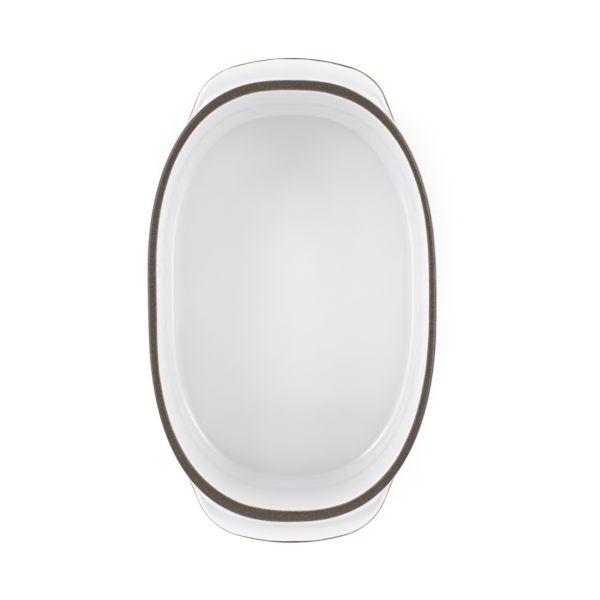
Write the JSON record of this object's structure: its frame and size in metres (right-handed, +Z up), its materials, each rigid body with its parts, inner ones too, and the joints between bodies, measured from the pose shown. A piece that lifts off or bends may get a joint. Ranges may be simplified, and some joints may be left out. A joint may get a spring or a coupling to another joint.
{
  "type": "gratin dish",
  "caption": "Oval gratin dish in dark stoneware, white glaze inside and out, with a bare rim and a low lug handle at each end.",
  "frame": {"origin": "under the middle of the dish, on the surface that its foot ring stands on", "axes": "+Z up out of the dish, +Y along its length to the back lug handle, +X across it to the right"},
  "size_m": [0.1424, 0.24, 0.046],
  "materials": {
    "bare_stoneware": "matte",
    "luting_slip": "satin",
    "white_glaze": "gloss"
  },
  "bodies": {
    "root": {"stoneware_body": "bare_stoneware", "lug_handle_back": "bare_stoneware", "lug_handle_front": "bare_stoneware", "luting_seam_back": "luting_slip", "luting_seam_front": "luting_slip", "inside_glaze": "white_glaze", "outside_glaze": "white_glaze", "underside_glaze": "white_glaze", "lug_top_glaze_back": "white_glaze", "lug_top_glaze_front": "white_glaze", "lug_underside_glaze_back": "white_glaze", "lug_underside_glaze_front": "white_glaze"}
  },
  "joints": []
}
